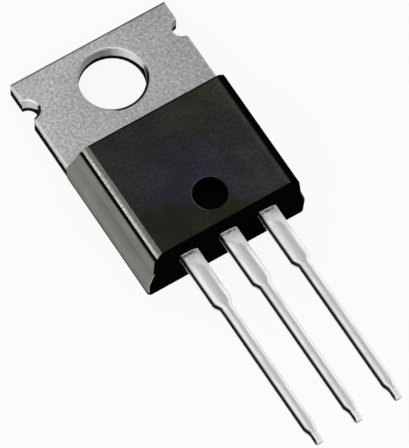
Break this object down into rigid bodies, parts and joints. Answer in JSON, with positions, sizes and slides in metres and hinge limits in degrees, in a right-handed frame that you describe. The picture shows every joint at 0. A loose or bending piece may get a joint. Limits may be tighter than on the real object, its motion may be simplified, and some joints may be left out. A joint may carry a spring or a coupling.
{
  "type": "voltage regulator",
  "caption": "Through-hole voltage regulator: black moulded body on a flat metal tab with a mounting hole and side notches, and straight flat tinned leads.",
  "frame": {"origin": "centre of the mounting hole, on the heat-sink face", "axes": "+X from the input lead to the output lead, +Y towards the free end of the tab, +Z out of the front face of the body; the part lies on its heat-sink face"},
  "size_m": [0.0104, 0.0284, 0.0044],
  "materials": {
    "moulding": "matt black epoxy moulding compound",
    "nickelled_copper": "matt, finely blasted nickel plate on copper; the centre leg is dipped in bright tin",
    "tinned_copper": "bright tin on copper",
    "silicon": "polished silicon",
    "solder": "soft solder",
    "aluminium_wire": "drawn aluminium wire"
  },
  "bodies": {
    "root": {"moulded_body": "moulding", "tab_with_centre_lead": "nickelled_copper", "input_lead": "tinned_copper", "output_lead": "tinned_copper", "regulator_chip": "silicon", "chip_solder": "solder", "input_wire": "aluminium_wire", "output_wire": "aluminium_wire", "ground_wire": "aluminium_wire"}
  },
  "joints": []
}
